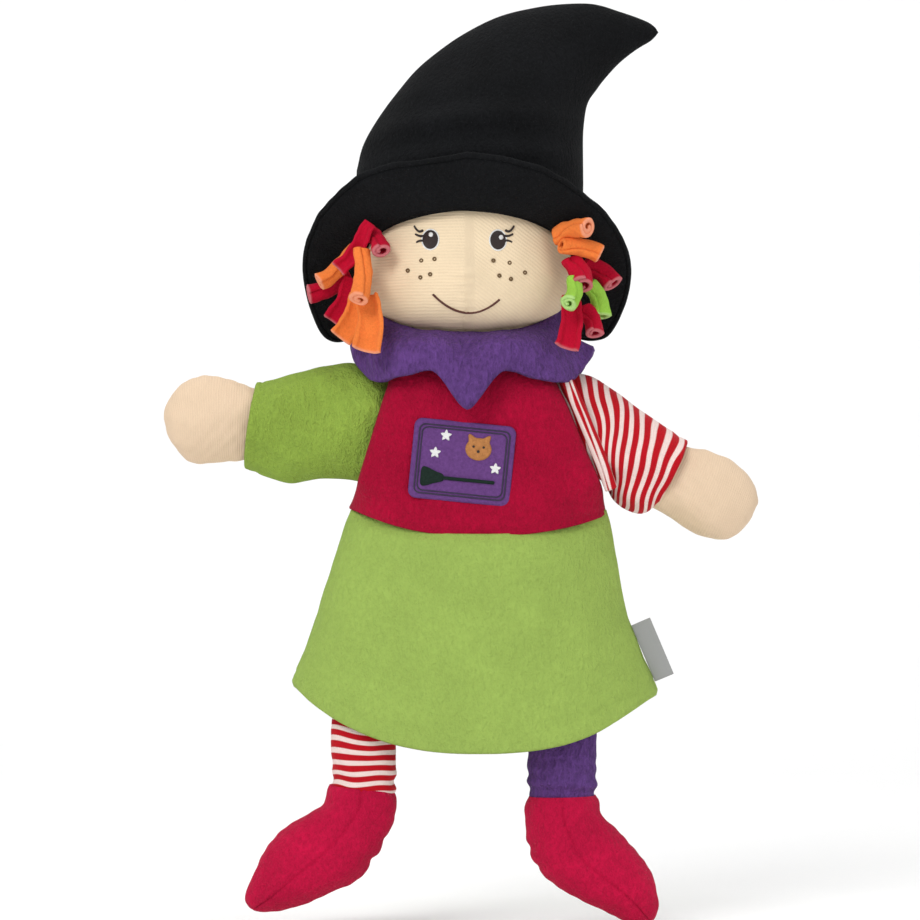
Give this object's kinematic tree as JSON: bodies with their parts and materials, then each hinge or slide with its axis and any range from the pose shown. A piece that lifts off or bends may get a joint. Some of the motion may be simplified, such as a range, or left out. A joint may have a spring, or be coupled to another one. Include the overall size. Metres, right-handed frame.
{
  "type": "hand puppet",
  "caption": "Soft witch glove puppet with a pointed hat, fleece hair, velour dress, striped sleeve, hanging legs and a finger tube in the head.",
  "frame": {"origin": "centre of the hand opening, on the puppet's mid-plane at the lowest point of the skirt's hem", "axes": "+Z from the hand opening up through the head, -Y the way the puppet faces, +X to the viewer's right, which is the puppet's left hand"},
  "size_m": [0.2604, 0.1015, 0.402],
  "materials": {
    "velour_crimson": "short cut-pile velour",
    "velour_green": "short cut-pile velour",
    "sleeve_green": "short cut-pile velour",
    "plush_purple": "soft plush",
    "felt_purple": "flat felt",
    "thread_dark": "embroidery thread",
    "felt_tan": "flat felt",
    "felt_green": "flat felt",
    "thread_white": "embroidery thread",
    "woven_tag": "woven ribbon",
    "knit_beige": "fine rib knit",
    "fibre": "loose polyester fibre",
    "card": "rolled card",
    "thread_brown": "embroidery thread",
    "thread_tan": "embroidery thread",
    "velour_black": "short cut-pile velour",
    "fleece_red": "brushed fleece",
    "fleece_orange": "brushed fleece",
    "fleece_green": "brushed fleece",
    "stripe_knit": "striped jersey knit",
    "velour_rose": "short cut-pile velour"
  },
  "bodies": {
    "body": {"bodice_front": "velour_crimson", "bodice_back": "velour_crimson", "skirt_front": "velour_green", "skirt_back": "velour_green", "hem_facing": "velour_green", "neck_band": "velour_crimson", "collar": "plush_purple", "patch_base": "felt_purple", "patch_frame": "thread_dark", "patch_cat": "felt_tan", "patch_broom": "felt_green", "patch_stars": "thread_white"},
    "side_label": {"side_label": "woven_tag"},
    "neck": {"neck_tube": "knit_beige"},
    "head": {"face_panel": "knit_beige", "head_back_panel": "knit_beige", "head_filling": "fibre", "finger_tube": "card", "eye_right": "thread_brown", "eye_left": "thread_brown", "lashes": "thread_brown", "freckles": "thread_tan", "mouth_stitch": "thread_brown", "hat_crown_front": "velour_black", "hat_crown_back": "velour_black", "hat_brim_top": "velour_black", "hat_brim_under": "velour_black", "hat_filling": "fibre", "hair_a": "fleece_red", "hair_b": "fleece_red", "hair_c": "fleece_orange", "hair_d": "fleece_red", "hair_e": "fleece_red", "hair_f": "fleece_orange", "hair_g": "fleece_orange", "hair_h": "fleece_orange", "hair_i": "fleece_orange", "hair_j": "fleece_orange", "hair_k": "fleece_red", "hair_l": "fleece_red", "hair_m": "fleece_green", "hair_n": "fleece_green", "hair_o": "fleece_red", "hair_p": "fleece_red"},
    "sleeve_right": {"sleeve_right": "sleeve_green"},
    "hand_right": {"hand_right": "knit_beige"},
    "sleeve_left": {"sleeve_left": "stripe_knit"},
    "hand_left": {"hand_left": "knit_beige"},
    "leg_right": {"leg_right": "stripe_knit", "leg_right_filling": "fibre"},
    "shoe_right": {"shoe_right": "velour_rose", "shoe_right_filling": "fibre"},
    "leg_left": {"leg_left": "plush_purple", "leg_left_filling": "fibre"},
    "shoe_left": {"shoe_left": "velour_rose", "shoe_left_filling": "fibre"}
  },
  "joints": [
    {"name": "neck_turn", "type": "hinge", "parent": "body", "child": "neck", "pos_m": [0, 0, 0.17], "axis": [0, 0, 1], "range_deg": [-20, 20]},
    {"name": "head_nod", "type": "hinge", "parent": "neck", "child": "head", "pos_m": [0, 0, 0.19], "axis": [1, 0, 0], "range_deg": [-8, 8]},
    {"name": "arm_raise_right", "type": "hinge", "parent": "body", "child": "sleeve_right", "pos_m": [-0.043, 0, 0.142], "axis": [0, 1, 0], "range_deg": [-29, 18]},
    {"name": "arm_raise_left", "type": "hinge", "parent": "body", "child": "sleeve_left", "pos_m": [0.0495, 0, 0.141], "axis": [0, -1, 0], "range_deg": [-5, 43]},
    {"name": "hand_clasp_right", "type": "hinge", "parent": "sleeve_right", "child": "hand_right", "pos_m": [-0.093, 0, 0.1415], "axis": [0, 0, 1], "range_deg": [-18, 18]},
    {"name": "hand_clasp_left", "type": "hinge", "parent": "sleeve_left", "child": "hand_left", "pos_m": [0.0905, 0, 0.1195], "axis": [-0.454, 0, -0.891], "range_deg": [-18, 18]},
    {"name": "leg_swing_right", "type": "hinge", "parent": "body", "child": "leg_right", "pos_m": [-0.045, -0.014, 0.014], "axis": [1, 0, 0], "range_deg": [-20, 40]},
    {"name": "leg_swing_left", "type": "hinge", "parent": "body", "child": "leg_left", "pos_m": [0.0415, -0.014, 0.014], "axis": [1, 0, 0], "range_deg": [-20, 40]},
    {"name": "ankle_right", "type": "hinge", "parent": "leg_right", "child": "shoe_right", "pos_m": [-0.046, -0.014, -0.019], "axis": [0, 1, 0], "range_deg": [-8, 8]},
    {"name": "ankle_left", "type": "hinge", "parent": "leg_left", "child": "shoe_left", "pos_m": [0.0415, -0.014, -0.021], "axis": [0, 1, 0], "range_deg": [-8, 8]},
    {"name": "side_label_flap", "type": "hinge", "parent": "body", "child": "side_label", "pos_m": [0.0746, 0, 0.054], "axis": [-0.3891, 0, 0.9212], "range_deg": [-55, 55]}
  ]
}
